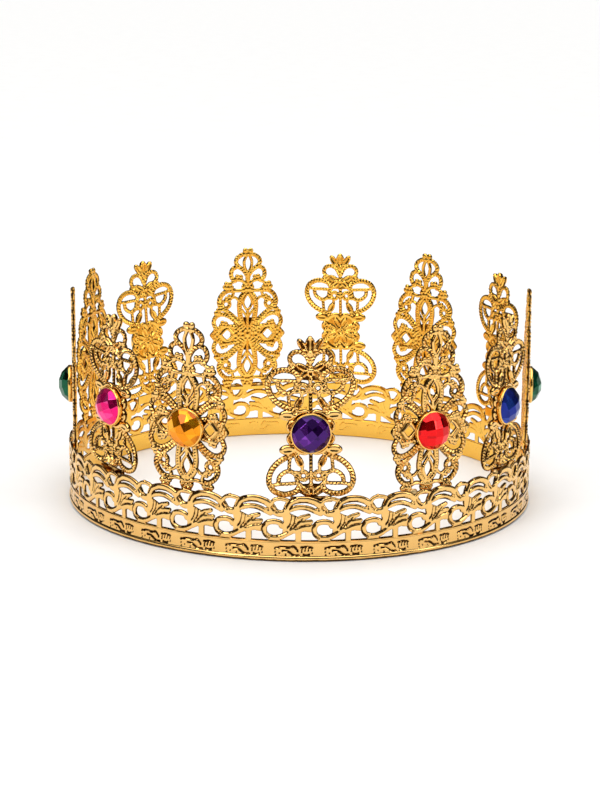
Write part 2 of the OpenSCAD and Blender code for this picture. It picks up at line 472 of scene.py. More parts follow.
def stone_material(name, dark_reflection, body, bright_reflection):
    """Foil-backed acrylic: each facet takes its own random tone, from a painted dark reflection to a
    painted bright one, under a clear glossy surface.
    """
    facet_share, fleck_share, same_facet = 0.6, 0.45, (0.06, 0.06, 0.06)
    material, shader, node, link = new_material(name)
    geometry = node("ShaderNodeNewGeometry")
    where = node("ShaderNodeTexCoord")
    facet = node("ShaderNodeTexWhiteNoise", noise_dimensions="3D")
    snap = node("ShaderNodeVectorMath", operation="SNAP")
    snap.inputs[1].default_value = same_facet
    link(geometry.outputs["True Normal"], snap.inputs[0])
    link(snap.outputs["Vector"], facet.inputs["Vector"])
    flecks = node("ShaderNodeTexVoronoi", Scale=330.0, distance="CHEBYCHEV", Randomness=0.25)
    link(where.outputs["Object"], flecks.inputs["Vector"])
    facet_tone = scaled(node, link, facet.outputs["Value"], facet_share)
    tone = scaled(node, link, flecks.outputs["Color"], fleck_share, facet_tone)
    # painted reflection: each facet's tone runs from the dark reflection tone to the bright one
    tint = ramp(node, [(0.16, dark_reflection), (0.40, body), (0.68, body), (0.86, bright_reflection)])
    link(tone, tint.inputs["Fac"])
    link(tint.outputs["Color"], shader.inputs["Base Color"])
    shader.inputs["Metallic"].default_value = 0.8
    shader.inputs["Roughness"].default_value = 0.12
    shader.inputs["Coat Weight"].default_value = 0.2
    shader.inputs["Coat Roughness"].default_value = 0.02
    shader.inputs["Coat IOR"].default_value = 1.49
    return material


# the painted shade colour that fills the gold's recesses
RECESS_SHADE = (0.045, 0.014, 0.002)
PLAQUE_GOLD = gold_material("plaque_gold", RECESS_SHADE, (0.86, 0.49, 0.13), (0.92, 0.56, 0.18), 0.13)
BAND_GOLD = gold_material("band_gold", RECESS_SHADE, (0.86, 0.51, 0.16), (0.91, 0.56, 0.19), 0.15)
BEZEL_GOLD = gold_material("bezel_gold", (0.25, 0.10, 0.01), (0.90, 0.50, 0.10), (0.95, 0.58, 0.15), 0.14)
SOLDER = gold_material("solder", (0.42, 0.24, 0.08), (0.74, 0.50, 0.20), (0.90, 0.66, 0.34), 0.34, 0.3)

# each stone's painted dark reflection tone, its body colour and its painted bright reflection tone
STONE_COLOURS = {
    "purple": ((0.004, 0.0, 0.018), (0.05, 0.003, 0.14), (0.22, 0.04, 0.46)),
    "red": ((0.24, 0.0, 0.001), (0.88, 0.002, 0.004), (1.0, 0.035, 0.03)),
    "blue": ((0.001, 0.002, 0.04), (0.004, 0.02, 0.26), (0.02, 0.08, 0.50)),
    "green": ((0.0, 0.012, 0.005), (0.0, 0.10, 0.04), (0.02, 0.36, 0.16)),
    "pink": ((0.45, 0.0, 0.08), (0.95, 0.004, 0.19), (1.0, 0.09, 0.38)),
    "orange": ((0.32, 0.07, 0.0), (1.0, 0.31, 0.0), (1.0, 0.45, 0.01)),
}
STONES = {name: stone_material(f"{name}_stone", *tones) for name, tones in STONE_COLOURS.items()}


# ---------------- where the CAD says things are


def vertices(node):
    """A CAD node's vertices at rest, in millimetres."""
    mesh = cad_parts[node].data
    co = np.zeros(len(mesh.vertices) * 3, np.float32)
    mesh.vertices.foreach_get("co", co)
    return co.reshape(-1, 3).astype(float) / MM


def box_centre(node):
    """The middle of a CAD node's box, in millimetres."""
    low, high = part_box(node)
    return np.array((low + high) / 2) / MM


class Seat:
    """A plaque's own frame, read from its CAD plate: X across, Y up its height, Z outward.

    Its origin is behind the middle of the stone, on the plate's outer face. foot and reach are how
    far the plate goes below and above that.
    """

    def __init__(self, number):
        self.number = number
        plate = vertices(f"plaque_{number}")
        middle = plate.mean(0)
        outward = np.linalg.svd(plate - middle, full_matrices=False)[2][2]
        outward *= np.sign(outward @ middle)
        face = (plate @ outward).max()
        centre = box_centre(f"bezel_{number}")
        origin = centre + outward * (face - centre @ outward)
        up = plate[plate[:, 2].argmax()] - origin
        up -= outward * (up @ outward)
        self.reach = np.linalg.norm(up)
        up /= self.reach
        across = np.cross(up, outward)
        self.foot = -((plate - origin) @ up).min()
        self.kind = "oval" if self.reach > OVAL_REACH else "flower"
        rows = [[across[i], up[i], outward[i], origin[i] * MM] for i in range(3)]
        self.matrix = Matrix(rows + [[0, 0, 0, 1]])


OVAL_REACH = 31.5  # a plaque that reaches higher than this over its stone is an oval one
NUMBERS = [f"{i:02d}" for i in range(1, 14)]
STONE_ORDER = (
    "purple", "red", "blue", "green", "pink", "orange", "purple",
    "red", "blue", "green", "green", "pink", "orange",
)
STONE_TURNS = (40, 8, 25, 12, 30, 33, 50, 20, 15, 40, 12, 25, 30)  # degrees
SEATS = [Seat(number) for number in NUMBERS]

RING_R = 80.0  # the rim's outer radius and its height, as in the CAD
RIM_H = 6.4


# ---------------- plaques

PLAQUE_STEP = 0.26  # mm between the points of a plaque's relief


def draw_foot(sheet):
    """The broad foot behind the gallery, which the solder holds."""
    sheet.pad([(0, -26), (6.5, -26), (6.5, -20.6), (0, -20.6)], 0.3, TOP)


def draw_palmette(sheet):
    """The flower plaque's top: a ribbed shell between two outlined leaves, on a pair of loops."""
    sheet.leaf((0, 27.5), (2.6, 1.6), 90, 1.1, TOP, rim=0.3, floor=0.12, vein=0.5)
    sheet.leaf((2.55, 27.5), (2.3, 1.15), 58, 1.05, TOP, rim=0.42, floor=0.12)
    sheet.pad([(0, 24.4), (1.2, 25.2), (2.4, 26.9), (1.2, 28.2), (0, 28.6)], 0.12, TOP)
    sheet.bead((0, 24.8), 0.95, 1.05, TOP)
    sheet.bead((0, 29.5), 0.8, 0.95, TOP)
    # the pair of loops under it, and the leaves where they meet the wings
    sheet.wire([(0, 25.0), (0, 22.6), (0, 19.4)], 0.58, 0.85, TOP, rope=0.8)
    sheet.wire(
        [(0.3, 22.2), (1.4, 24.3), (3.2, 25.4), (5.1, 25.2), (6.2, 24.0), (6.2, 22.6), (5.4, 21.3)],
        0.66, 1.0, TOP, rope=0.75,
    )
    sheet.pad(
        [(0, 16.4), (2.4, 16.6), (4.4, 17.6), (5.4, 19.4), (6.4, 21.2), (5.4, 22.2), (3.6, 21.0),
         (1.6, 20.6), (0, 21.2)],
        0.12, TOP,
    )
    sheet.pad([(0, 16.4), (2.4, 16.6), (4.2, 17.6), (4.6, 18.8), (1.6, 20.6), (0, 20.8)], 0.12, BOTH)
    sheet.leaf((2.4, 20.5), (2.4, 1.05), 28, 1.05, TOP, rim=0.4, floor=0.15)
    sheet.leaf((5.7, 21.0), (1.5, 0.95), -30, 0.95, TOP, rim=0.38, floor=0.25)
    sheet.leaf((1.9, 18.5), (2.1, 1.0), -38, 1.0, BOTH, rim=0.4, floor=0.2)
    sheet.leaf((0, 18.7), (1.5, 1.05), 90, 1.1, BOTH, rim=0.4, floor=0.0)
    sheet.bead((0, 16.6), 0.8, 1.05, BOTH)


def draw_wings(sheet):
    """Winged scrolls, with a small ring and a row of beads between them."""
    sheet.wire(
        [(3.4, 17.0), (4.9, 19.0), (8.5, 19.8), (11.7, 18.5), (13.1, 15.5), (12.3, 12.1),
         (10.0, 9.4), (6.8, 7.6), (4.4, 6.8)],
        0.8, 1.0, BOTH, rope=0.75, pitch=1.1,
    )
    sheet.wire([(3.8, 16.2), (7.0, 16.4), (10.0, 16.5), (12.6, 17.0)], 0.5, 0.85, BOTH, rope=0.6)
    sheet.wire(
        [(10.2, 16.4), (9.7, 14.0), (7.4, 12.4), (5.0, 13.2), (4.2, 16.0)],
        0.62, 0.95, BOTH, rope=0.65,
    )
    sheet.wire([(6.8, 12.4), (6.7, 10.2), (6.5, 8.0)], 0.5, 0.85, BOTH, rope=0.7)
    sheet.wire(circle((2.35, 13.9), 1.3, 6), 0.6, 0.95, BOTH, closed=True, rope=0.5, pitch=0.9)
    for y in (15.3, 14.1, 12.9):
        sheet.bead((0, y), 0.68, 1.0, BOTH)
    sheet.wire([(3.6, 12.9), (4.6, 12.8), (5.6, 13.1)], 0.45, 0.8, BOTH)
    # stalk and leaves between the wings and the flower
    sheet.wire([(0, 16.0), (0, 10), (0, 5.6)], 0.5, 0.5, BOTH, rope=0.8)
    sheet.leaf((3.6, 9.2), (2.3, 1.2), 118, 1.05, BOTH, rim=0.42, floor=0.15)
    sheet.wire([(2.7, 12.6), (2.7, 11.6), (2.6, 10.8)], 0.45, 0.8, BOTH)


def draw_flower(sheet):
    """An eight-petal flower on its square plate."""
    sheet.pad([(0, 0), (6.6, 0), (7.0, 3.4), (5.6, 5.6), (2.6, 6.2), (0, 5.8)], 0.25, BOTH)
    sheet.leaf((7.2, 5.5), (2.6, 1.6), 4, 1.15, BOTH, rim=0.9, floor=0.75)
    sheet.wire([(0.2, 5.3), (1.3, 6.5), (3.0, 6.4), (4.6, 5.4), (5.2, 4.6)], 0.6, 0.95, BOTH)
    sheet.leaf((5.9, 2.0), (1.65, 1.95), 0, 0.95, BOTH, rim=0.45, floor=0.25)
    for angle, length, reach in ((22.5, 2.8, 3.9), (67.5, 2.3, 3.5)):
        a = math.radians(angle)
        at = (reach * math.cos(a), reach * math.sin(a))
        sheet.leaf(at, (length, 1.2), angle, 1.05, BOTH, rim=0.4, floor=0.12, vein=0.5)
    sheet.wire(circle((0, 0), 1.25, 8), 0.45, 1.25, closed=True)
    sheet.bead((0, 0), 0.75, 1.3)


def flower_sheet(foot):
    """Winged scrolls above and below an eight-petal flower, with a palmette at the top."""
    xs = even_steps(-14.6, 14.6, PLAQUE_STEP)
    ys = even_steps(-foot, 30.6, PLAQUE_STEP)
    sheet = Relief(xs, ys, weight=1.14)
    draw_foot(sheet)
    draw_palmette(sheet)
    draw_wings(sheet)
    draw_flower(sheet)
    return sheet


def draw_tip(sheet):
    """The oval plaque's tip, down to its second pair of loops."""
    # the tip's four beads and the first pair of loops
    sheet.bead((1.0, 32.4), 1.05, 1.1, TOP)
    sheet.bead((1.15, 31.2), 0.95, 1.0, TOP)
    sheet.wire(
        [(0.5, 31.2), (2.3, 30.9), (4.1, 29.7), (4.7, 28.1), (3.8, 26.5), (1.7, 24.9), (0.3, 22.8)],
        0.72, 1.0, TOP, rope=0.8,
    )
    sheet.wire([(0.6, 30.6), (1.5, 28.2), (1.2, 25.9), (0.2, 23.8)], 0.5, 0.9, TOP)
    # the second pair, each curled over a cluster of beads
    sheet.wire(
        [(3.9, 26.4), (5.8, 25.6), (6.6, 23.8), (6.2, 22.0), (5.0, 20.9)],
        0.72, 1.0, TOP, rope=0.8,
    )
    sheet.beads(((2.7, 22.4), (4.1, 22.6), (4.9, 21.5), (3.6, 21.3), (2.5, 21.1)), 0.82, 1.0, TOP)
    sheet.wire([(0, 23.4), (0, 20.6)], 0.8, 0.95, TOP)
    sheet.wire([(2.6, 20.9), (1.4, 20.4), (0.2, 20.0)], 0.5, 0.8, TOP)


def draw_clusters(sheet):
    """Clusters of beads, and a crescent over a small ring at each shoulder."""
    # the cluster over the marquise
    sheet.pad([(0, 16.0), (1.6, 16.6), (2.6, 18.4), (1.7, 20.4), (0, 20.9)], 0.15, BOTH)
    sheet.beads(((0.75, 19.9), (1.6, 18.6), (0.6, 17.6), (0, 18.9), (1.7, 17.2)), 0.78, 1.0, BOTH)
    sheet.wire([(1.6, 17.4), (3.4, 17.0), (5.6, 17.2)], 0.55, 0.9, BOTH)
    sheet.wire([(4.8, 21.0), (6.2, 20.2), (7.2, 19.4)], 0.5, 0.85, TOP)
    # clusters at the shoulder
    sheet.beads(((7.0, 19.6), (8.4, 19.8), (9.0, 18.5), (7.6, 18.3), (6.4, 18.4)), 0.9, 1.0, BOTH)
    # the third pair: a crescent over a small ring
    sheet.wire(
        [(5.4, 17.2), (8.2, 17.0), (10.3, 15.3), (11.2, 12.9), (10.5, 10.7), (8.4, 9.6)],
        0.78, 1.0, BOTH, rope=0.8,
    )
    sheet.wire(circle((8.5, 11.9), 1.45, 7), 0.62, 0.95, BOTH, closed=True, rope=0.6, pitch=0.9)
    sheet.beads(((7.1, 13.7), (8.3, 14.2), (6.3, 14.6), (7.2, 15.0)), 0.72, 0.95, BOTH)
    sheet.wire([(6.6, 14.0), (5.8, 15.6), (5.4, 17.2)], 0.5, 0.9, BOTH, rope=0.3)
    sheet.wire([(3.3, 13.0), (4.8, 14.4), (6.2, 14.4)], 0.45, 0.8, BOTH)


def draw_marquise(sheet):
    """A marquise: a studded frame round a diamond on a forked stem."""
    marquise = [(0.7, 16.6), (2.5, 14.6), (3.2, 11.8), (3.1, 9.0), (2.6, 6.2), (1.2, 2.8)]
    sheet.wire(marquise, 0.85, 0.6, BOTH)
    for x, y in smooth_path(marquise, per_span=3)[1:-2]:
        sheet.bead((x, y), 0.5, 1.0, BOTH)
    sheet.wire([(0.2, 15.8), (1.4, 13.8), (1.7, 12.3), (1.2, 10.8), (0.1, 9.2)], 0.42, 0.9, BOTH)
    sheet.wire([(0, 9.6), (0, 6.5), (0, 2.5)], 0.5, 0.9, BOTH)
    sheet.wire([(0.2, 6.8), (1.2, 8.2), (2.3, 9.6)], 0.42, 0.8, BOTH)


def draw_ribs(sheet):
    """Ribs that fan out from the hub to the loops, with their clusters of beads."""
    sheet.wire([(0.9, 1.8), (3.6, 5.2), (6.4, 8.0), (8.8, 9.6), (10.4, 9.9)], 0.6, 0.9, BOTH, rope=0.7)
    sheet.wire(
        [(1.4, 1.4), (4.6, 4.9), (7.6, 7.3), (10.4, 8.0), (12.6, 6.9), (13.3, 4.8), (12.5, 2.6)],
        0.72, 1.0, BOTH, rope=0.8,
    )
    sheet.beads(((8.5, 4.4), (9.8, 4.8), (10.3, 3.7), (9.0, 3.5), (7.7, 3.4)), 0.85, 1.0, BOTH)
    sheet.beads(((12.3, 8.6), (11.4, 9.7), (11.4, 8.6)), 0.95, 1.0, BOTH)


def draw_side_leaf(sheet):
    """The pointed side leaf, studded round its diamond opening."""
    sheet.pad(
        [(1.0, 0), (5.7, 0), (8.0, 2.0), (10.2, 0), (14.1, 0), (12.6, 2.0), (10.6, 3.1), (7.6, 3.4),
         (4.4, 3.0), (1.0, 1.4)],
        0.25, BOTH,
    )
    sheet.wire(
        [(1.6, 1.4), (4.4, 2.9), (7.5, 3.4), (10.6, 3.0), (12.5, 1.9), (14.1, 0.1)],
        0.6, 1.0, BOTH, rope=0.8,
    )
    sheet.wire([(5.4, 0), (8.0, 2.3), (10.6, 0)], 0.45, 0.9, BOTH)
    sheet.beads(
        ((3.4, 0.9), (4.6, 1.7), (4.4, 0.3), (11.9, 0.9), (11.2, 2.0), (12.8, 0.2)),
        0.58, 1.05, BOTH,
    )


def draw_hub(sheet):
    """A ring of studs round the middle."""
    sheet.bead((0, 0), 2.6, 0.9)
    for k in range(8):
        a = (k + 0.5) * math.pi / 4
        sheet.bead((2.0 * math.cos(a), 2.0 * math.sin(a)), 0.66, 1.25)
    sheet.bead((0, 0), 1.0, 1.35)


def oval_sheet(foot):
    """A pointed oval of curled loops round two marquises, with beaded leaves and clusters."""
    xs = even_steps(-15.0, 15.0, PLAQUE_STEP)
    ys = even_steps(-foot, 34.0, PLAQUE_STEP)
    sheet = Relief(xs, ys, weight=1.16)
    draw_foot(sheet)
    draw_tip(sheet)
    draw_clusters(sheet)
    draw_marquise(sheet)
    draw_ribs(sheet)
    draw_side_leaf(sheet)
    draw_hub(sheet)
    return sheet


def build_plaques():
    """Each kind is drawn once, then meshed for each plaque, cut off where its CAD plate ends."""
    middle, edge, front, back = -0.72, 0.2, 0.72, 0.42
    deepest = max(seat.foot for seat in SEATS)
    sheets = {"flower": flower_sheet(deepest), "oval": oval_sheet(deepest)}

    def flat(x, y, z):
        return np.stack([x, y, middle + z], axis=1)

    for seat in SEATS:
        cells = outline_cells(sheets[seat.kind], PLAQUE_STEP, seat.foot)
        name = f"filigree_{seat.number}_{seat.kind}"
        plaque = sheet_object(name, cells, flat, edge, front, back, PLAQUE_GOLD)
        plaque.matrix_world = seat.matrix
        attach(plaque, "root")
        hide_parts(f"plaque_{seat.number}")


# ---------------- band

REPEATS = 32
PERIOD = 2 * math.pi * RING_R / REPEATS
FIRST_SCROLL = math.radians(5.4)  # where the first period starts, from the front
GALLERY_STEP = 0.327  # mm between the points of the gallery's relief
RIM_COLUMNS = 64  # the rim's points along one period
RIM_WALL = 1.0  # its thickness
RIM_PRESS = 0.3  # how deep the rim's marks are pressed

# the hem's painted shade level at each of its points, from below and up its outside: painted dark along
# its bottom and in the crease at its top
HEM_SHADE = (0.0, 0.0, 0.0, 0.4, 0.9, 0.9, 0.9, 0.0)
# radius, height and painted shade level of the ridge that ends the rim: painted dark at its foot, as the
# shadow under the gallery
RIDGE = (
    (RING_R + 0.01, RIM_H - 0.5, 0.0),
    (RING_R + 0.18, RIM_H - 0.4, 0.9),
    (RING_R + 0.18, RIM_H - 0.12, 0.9),
    (RING_R - 0.25, RIM_H, 0.3),
)


def on_ring(x, z, r):
    """Distance along the wall, height and radius, as a point in the row frame."""
    a = FIRST_SCROLL + x / RING_R
    return np.stack([r * np.sin(a), -r * np.cos(a), z], axis=-1)


def draw_scroll(sheet):
    """The gallery's scroll, and its link to the leaf before it."""
    sheet.wire(
        [(6.6, 9.9), (4.6, 8.9), (2.6, 7.8), (0.2, 7.4), (-2.0, 8.3), (-2.7, 10.3), (-1.8, 12.1),
         (0.3, 12.7), (2.2, 12.3), (2.9, 11.4)],
        0.66, 1.0,
    )
    sheet.bead((2.8, 11.3), 0.85, 1.1)
    sheet.wire([(-2.95, 10.25), (-4.8, 10.5)], 0.75, 0.9)


def draw_acanthus(sheet):
    """The acanthus leaf with its fingers, on its post."""
    # leaf's body, from which its fingers spread
    sheet.pad(
        [(3.0, 8.8), (5.6, 9.3), (8.4, 9.9), (10.2, 10.6), (9.8, 12.6), (8.0, 14.3), (5.0, 15.6),
         (3.1, 15.2), (3.4, 12.2)],
        0.7,
    )
    sheet.wire([(6.5, 11.5), (8.4, 13.6), (11.2, 14.7)], 0.85, 1.0, tip=0.65)
    sheet.wire([(6.8, 10.9), (9.2, 12.2), (12.0, 12.8)], 0.8, 1.0, tip=0.65)
    sheet.wire([(5.8, 9.8), (9.0, 10.5), (11.8, 11.0)], 0.78, 0.9)
    sheet.leaf((3.9, 14.2), (0.75, 0.75), 0, 1.0, rim=0.25, floor=0.0)
    # post with the leaf's curled lower tip on it
    sheet.wire([(8.1, 6.5), (8.1, 9.4)], 0.72, 0.75)
    sheet.bead((8.1, 9.5), 0.85, 1.05)


def draw_arches(sheet):
    """The large arch over its rib, and the bridge to the next one."""
    # rib under the large arch, the arch itself and the curl that they end in
    sheet.wire(
        [(3.6, 15.8), (5.6, 16.7), (8.2, 17.4), (10.8, 17.2), (13.2, 16.2), (15.0, 15.4)],
        0.62, 0.9,
    )
    sheet.wire(
        [(4.3, 15.6), (4.5, 17.3), (5.6, 19.0), (8.0, 19.8), (10.8, 19.85), (13.5, 19.0),
         (15.3, 17.6), (16.4, 16.0), (17.8, 15.3), (19.4, 15.5)],
        0.84, 1.1,
    )
    sheet.leaf((14.4, 16.6), (0.95, 0.95), 0, 1.1, rim=0.35, floor=0.1)
    # thin bridge from one large arch to the next, with its knob
    sheet.wire([(15.0, 18.4), (16.2, 19.7), (17.8, 20.1), (19.4, 19.9), (20.8, 19.3)], 0.48, 0.95)
    sheet.bead((17.6, 20.2), 0.75, 1.2)


def press_grooves(sheet):
    """Pressed lines between the fingers, along the arch and round the scroll."""
    sheet.groove([(4.6, 10.9), (5.6, 12.6), (5.9, 14.9)], 0.26)
    sheet.groove([(5.5, 10.6), (6.7, 12.4), (7.1, 14.6)], 0.26)
    sheet.groove([(6.6, 10.9), (8.0, 12.7), (9.6, 14.0)], 0.24)
    sheet.groove([(7.2, 10.6), (9.4, 11.6), (11.4, 11.9)], 0.22)
    sheet.groove([(4.0, 17.4), (5.3, 19.5), (7.2, 20.5)], 0.34)
    sheet.groove([(5.2, 16.9), (6.4, 18.3), (8.4, 19.0), (10.8, 19.0), (13.0, 18.2)], 0.3)
    sheet.groove([(8.6, 16.6), (10.8, 16.6), (12.8, 15.8)], 0.3)
    sheet.groove([(15.2, 17.9), (15.9, 16.6), (17.0, 15.9)], 0.26)
    sheet.groove([(-1.0, 7.4), (-2.8, 8.7), (-3.3, 10.6), (-2.3, 12.4)], 0.36)
    sheet.groove([(-1.2, 9.0), (0.4, 8.2), (2.4, 8.6), (4.6, 9.6)], 0.3)


def gallery_sheet():
    """One period of the gallery, from a scroll's centre: scroll, acanthus leaf, post and arches."""
    xs = even_steps(0, PERIOD, GALLERY_STEP)
    ys = even_steps(RIM_H - 0.5, 21.4, GALLERY_STEP)
    sheet = Relief(xs, ys, period=PERIOD, weight=1.32, crown=0.42)
    sheet.pad([(-1, 5.6), (PERIOD + 1, 5.6), (PERIOD + 1, 6.75), (-1, 6.75)], 0.3)
    draw_scroll(sheet)
    draw_acanthus(sheet)
    draw_arches(sheet)
    press_grooves(sheet)
    return sheet


def rim_marks(x, z):
    """How deep the rim is pressed in, from 0 to 1: a wave with ticks and dots, once a period."""
    sheet = Relief(x, z, period=PERIOD)
    sheet.wire([(0.8, 4.2), (2.8, 4.6), (5.2, 4.5), (6.8, 4.8), (8.0, 3.4)], 0.34, 1.0)
    sheet.wire([(3.2, 3.4), (5.0, 3.2), (6.8, 2.0), (8.4, 1.9)], 0.34, 1.0)
    sheet.wire([(9.0, 4.6), (10.8, 4.8), (12.6, 4.5)], 0.28, 1.0)
    sheet.wire([(9.6, 2.3), (10.6, 2.0), (11.6, 2.3)], 0.28, 0.9)
    for at in (9.4, 10.4, 11.4, 12.4):
        sheet.wire([(at, 4.4), (at - 0.15, 3.5)], 0.26, 0.9)
    sheet.beads(((0.9, 3.0), (1.0, 2.1), (2.2, 2.6), (4.2, 2.2), (9.2, 3.0), (12.5, 2.7)), 0.3, 0.9)
    return sheet.height


def rim_rows():
    """The rim's rows of points, up its outside and down its inside, along one period.

    Each is its height, its radii, its painted shade level and 1 if it is on the inside.
    """
    hem_r, hem_out, sunk = 0.75, 0.45, 0.05
    x = np.arange(RIM_COLUMNS) * PERIOD / RIM_COLUMNS
    level = np.ones(RIM_COLUMNS)
    rows = []
    for a, relief_shade in zip(np.radians(np.linspace(-90, 78, len(HEM_SHADE))), HEM_SHADE):
        r = RING_R - sunk + (hem_out + sunk) * math.cos(a)
        rows.append((hem_r + hem_r * math.sin(a), r * level, relief_shade * level, 0.0))
    face = np.linspace(1.6, RIM_H - 0.62, 17)
    for z, marks in zip(face, rim_marks(x, face).T):
        # painted shade: the flat face is a mid tone, and its pressed marks are painted dark
        rows.append((z, RING_R - RIM_PRESS * marks, 0.8 - 0.8 * np.minimum(1.6 * marks, 1), 0.0))
    for r, z, relief_shade in RIDGE:
        rows.append((z, r * level, relief_shade * level, 0.0))
    inside = np.linspace(RIM_H - 0.12, 0.12, 15)
    for z, marks in zip(inside, rim_marks(x, inside).T):
        # painted shade: the inside's pressed marks are painted darker
        rows.append((z, RING_R - RIM_WALL - 0.5 * RIM_PRESS * marks, 0.7 - 0.5 * marks, 1.0))
    rows.append((0.0, (RING_R - 0.9) * level, 0.5 * level, 1.0))
    return rows


def build_rim():
    """The plain rim: a wall with a rolled hem below, a ridge above and pressed marks between."""
    heights, radii, relief_shade, inner = zip(*rim_rows())
    x = np.arange(RIM_COLUMNS * REPEATS) * PERIOD / RIM_COLUMNS
    r = np.tile(np.stack(radii, axis=1), (REPEATS, 1))
    loops = on_ring(x[:, None], np.broadcast_to(heights, r.shape), r)
    mesh = ring_mesh("rim", loops, BAND_GOLD, sharp=38)
    point_values(mesh, "relief_shade", np.tile(np.stack(relief_shade, axis=1), (REPEATS, 1)).ravel())
    point_values(mesh, "inner", np.tile(inner, len(x)))
    rim = new_object("rim", mesh)
    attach(rim, "root")
    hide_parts("band")


def build_gallery():
    """The gallery is two equal lengths of the stamped strip, end to end."""
    repeats = REPEATS // 2
    one_period = outline_cells(gallery_sheet(), GALLERY_STEP)
    points, quads, tris = repeat_cells(*one_period, PERIOD, repeats)
    middle, edge, front, back = RING_R - 0.42, 0.2, 0.42, 0.16

    def bent(x, z, out):
        return on_ring(x, z, middle + out)

    for name, start in (("gallery_right", 0), ("gallery_left", repeats * PERIOD)):
        cells = (points + [start, 0, 0], quads, tris)
        gallery = sheet_object(name, cells, bent, edge, front, back, BAND_GOLD)
        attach(gallery, "root")
        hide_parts("band")


# ---------------- bezels and stones

BEZEL_SIDES = 72
BEZEL_FLOOR = 0.4
GIRDLE = 1.1  # the plain side under a stone's facets
FACET = 2.55  # from one facet's middle to the next
FACET_STEPS = (-2, -1, 0, 1, 2)
FACET_REACH = 2.3  # steps from the top, beyond which there is no facet


def build_bezels():
    """A thin cup round each stone, with its lip turned in over the stone's edge."""
    low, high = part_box("stone_01")
    stone_r = (high.z - low.z) / 2 / MM
    section = [
        (0.0, 0.0), (stone_r + 0.30, 0.0), (stone_r + 0.42, 0.12), (stone_r + 0.42, 1.15),
        (stone_r + 0.36, 1.40), (stone_r + 0.22, 1.56), (stone_r + 0.04, 1.60), (stone_r - 0.14, 1.52),
        (stone_r - 0.16, 1.40), (stone_r + 0.02, 1.30), (stone_r + 0.02, 0.42), (0.0, 0.42),
    ]
    mesh = turned_mesh("bezel", section, BEZEL_SIDES)
    # painted shade: the cup's floor, against the plate, is painted dark, and its walls and lip bright
    point_values(mesh, "relief_shade", [0.2 if v.co.z < 0.2 * MM else 0.9 for v in mesh.vertices])
    finish_mesh(mesh, BEZEL_GOLD, sharp=50)
    for seat in SEATS:
        bezel = new_object(f"setting_{seat.number}", mesh)
        bezel.matrix_world = seat.matrix
        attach(bezel, "root")
        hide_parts(f"bezel_{seat.number}")


def facet_directions(dome_r, turn):
    """Which way each facet faces: a square grid of them, laid over a dome of radius dome_r."""
    directions = []
    for u in FACET_STEPS:
        for v in FACET_STEPS:
            away = math.hypot(u, v)
            if away > FACET_REACH:
                continue
            tilt = math.asin(away * FACET / dome_r)
            a = math.atan2(v, u) + turn
            directions.append(
                Vector((math.sin(tilt) * math.cos(a), math.sin(tilt) * math.sin(a), math.cos(tilt)))
            )
    return directions


def cut_flat(bm, at, outward):
    """Cuts the solid flat at a plane and closes the cut."""
    cut = bmesh.ops.bisect_plane(
        bm, geom=bm.verts[:] + bm.edges[:] + bm.faces[:], dist=1e-5,
        plane_co=at, plane_no=outward, clear_outer=True,
    )
    edges = [e for e in cut["geom_cut"] if isinstance(e, bmesh.types.BMEdge)]
    if edges:
        bmesh.ops.contextual_create(bm, geom=edges)


def stone_mesh(name, radius, tall, turn, material):
    """A flat-backed dome cut into squares, each a plane that touches a sphere over the girdle."""
    crown = tall - GIRDLE
    dome_r = (radius**2 + crown**2) / (2 * crown)
    middle = Vector((0, 0, tall - dome_r))
    bm = bmesh.new()
    bmesh.ops.create_cone(
        bm, cap_ends=True, segments=72, radius1=radius, radius2=radius, depth=tall + 2,
        matrix=Matrix.Translation((0, 0, (tall + 2) / 2)),
    )
    for outward in facet_directions(dome_r, turn):
        cut_flat(bm, middle + outward * dome_r, outward)
    bmesh.ops.remove_doubles(bm, verts=bm.verts[:], dist=1e-4)
    ridges = [e for e in bm.edges if len(e.link_faces) == 2 and 0.1 < e.calc_face_angle(0) < 1.3]
    bmesh.ops.bevel(bm, geom=ridges, offset=0.05, segments=1, affect="EDGES", clamp_overlap=True)
    bmesh.ops.recalc_face_normals(bm, faces=bm.faces[:])
    bmesh.ops.scale(bm, vec=(MM, MM, MM), verts=bm.verts[:])
    mesh = bpy.data.meshes.new(name)
    bm.to_mesh(mesh)
    bm.free()
    mesh.materials.append(material)
    return mesh


def build_stones():
    """Each stone has its CAD stone's height and radius, and its own turn about its axis."""
    for seat, colour, turn in zip(SEATS, STONE_ORDER, STONE_TURNS):
        co = vertices(f"stone_{seat.number}")
        outward = np.array(seat.matrix.col[2][:3])
        tall = float((co @ outward).max() - (co @ outward).min())
        radius = (co[:, 2].max() - co[:, 2].min()) / 2
        name = f"gem_{seat.number}_{colour}"
        mesh = stone_mesh(name, radius, tall, math.radians(turn), STONES[colour])
        gem = new_object(name, mesh)
        gem.matrix_world = seat.matrix @ Matrix.Translation((0, 0, BEZEL_FLOOR * MM))
        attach(gem, "root")
        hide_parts(f"stone_{seat.number}")


# ---------------- solder

TACK_ASIDE = 5.2  # from a plaque's middle line to each of its tacks
TACK_RISE = 1.25  # from the foot's lower end up to them
BEAD_SIDES = 10


def add_tack(bm, number, seat, side):
    """One uneven drop of solder at a side of a plaque's foot."""
    across, up, outward, base = (Vector(seat.matrix.col[i][:3]) for i in range(4))
    size = 1 + 0.18 * math.sin(GOLDEN_TURN * (2 * number + side))
    centre = base - up * ((seat.foot - TACK_RISE) * MM)
    centre = centre + across * (side * TACK_ASIDE * MM) + outward * (0.25 * MM)
    for v in bmesh.ops.create_icosphere(bm, subdivisions=3, radius=1.0)["verts"]:
        wobble = 1 + 0.10 * math.sin(5 * v.co.x + number) * math.cos(4 * v.co.z + side * number)
        local = v.co * wobble * size
        spread = across * local.x * 1.3 + outward * local.y * 0.75 + Vector((0, 0, local.z * 0.95))
        v.co = centre + spread * MM


